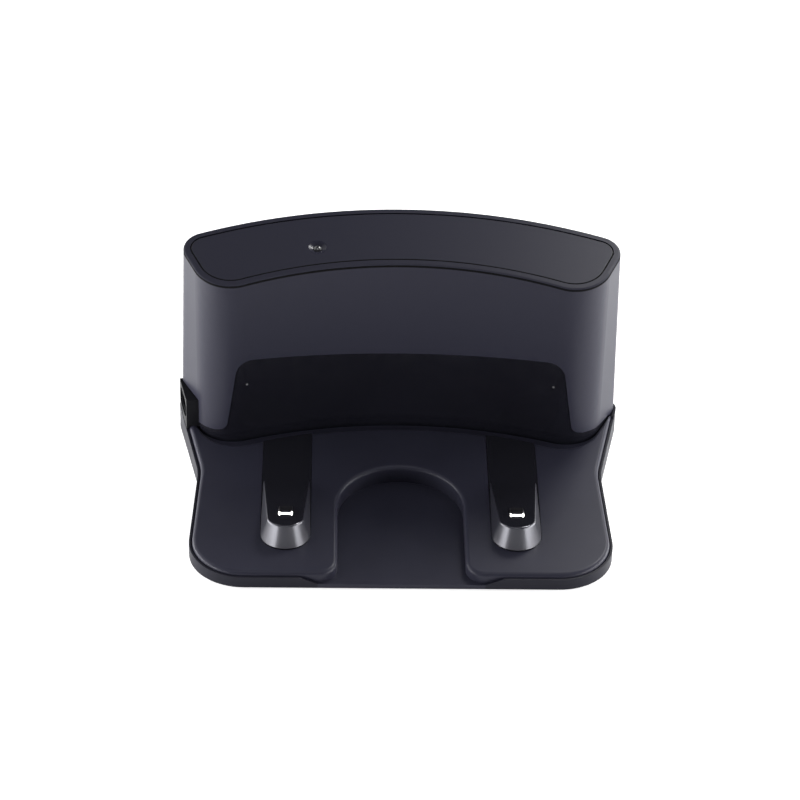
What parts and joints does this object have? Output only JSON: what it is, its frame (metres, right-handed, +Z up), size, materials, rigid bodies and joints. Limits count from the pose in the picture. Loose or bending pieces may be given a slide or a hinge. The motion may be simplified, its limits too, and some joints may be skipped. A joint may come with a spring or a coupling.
{
  "type": "robot vacuum charging dock",
  "caption": "Floor dock that charges a robot vacuum: ramp plate with a caster recess and sprung contacts, and a concave tower with an infrared window.",
  "frame": {"origin": "on the floor, under the middle of the dock's box", "axes": "+Z up, +Y towards the back of the tower, +X to the right seen from the robot's side"},
  "size_m": [0.23, 0.168, 0.119],
  "materials": {
    "shell_plastic": "fine satin moulding",
    "tray_plastic": "fine satin moulding",
    "gloss_black": "polished",
    "contact_metal": "nickel plated",
    "spring_strip": "rolled strip",
    "pin_brass": "plated",
    "foot_rubber": "soft",
    "screw_steel": "zinc plated",
    "circuit_board": "lacquered",
    "component_plastic": "moulded",
    "capacitor_can": "sleeved",
    "emitter_resin": "clear cast",
    "light_pipe": "clear",
    "wire_jacket": "smooth"
  },
  "bodies": {
    "dock": {"tower_shell": "shell_plastic", "top_lid": "shell_plastic", "base_plate": "shell_plastic", "base_tray": "tray_plastic", "contact_pod_left": "gloss_black", "contact_pod_right": "gloss_black", "ir_window": "gloss_black", "power_inlet": "gloss_black", "contact_leaf_left": "spring_strip", "contact_leaf_right": "spring_strip", "inlet_pins": "pin_brass", "rubber_feet": "foot_rubber", "base_screws": "screw_steel", "tower_screws": "screw_steel", "board_screws": "screw_steel", "power_board": "circuit_board", "status_board": "circuit_board", "ir_board_left": "circuit_board", "ir_board_centre": "circuit_board", "ir_board_right": "circuit_board", "transformer": "component_plastic", "terminal_block": "component_plastic", "bulk_capacitor": "capacitor_can", "ir_emitter_left": "emitter_resin", "ir_emitter_centre": "emitter_resin", "ir_emitter_right": "emitter_resin", "status_led": "emitter_resin", "status_light": "light_pipe", "contact_lead_left": "wire_jacket", "contact_lead_right": "wire_jacket", "mains_leads": "wire_jacket", "signal_leads": "wire_jacket"},
    "contact_left": {"contact_left": "contact_metal"},
    "contact_right": {"contact_right": "contact_metal"}
  },
  "joints": [
    {"name": "contact_press_left", "type": "slide", "parent": "dock", "child": "contact_left", "axis": [0, 0, 1], "range_m": [-0.0015, 0], "stiffness_N_per_m": 400, "springref_m": 0.002, "deforming": ["contact_leaf_left"]},
    {"name": "contact_press_right", "type": "slide", "parent": "dock", "child": "contact_right", "axis": [0, 0, 1], "range_m": [-0.0015, 0], "stiffness_N_per_m": 400, "springref_m": 0.002, "deforming": ["contact_leaf_right"]}
  ]
}
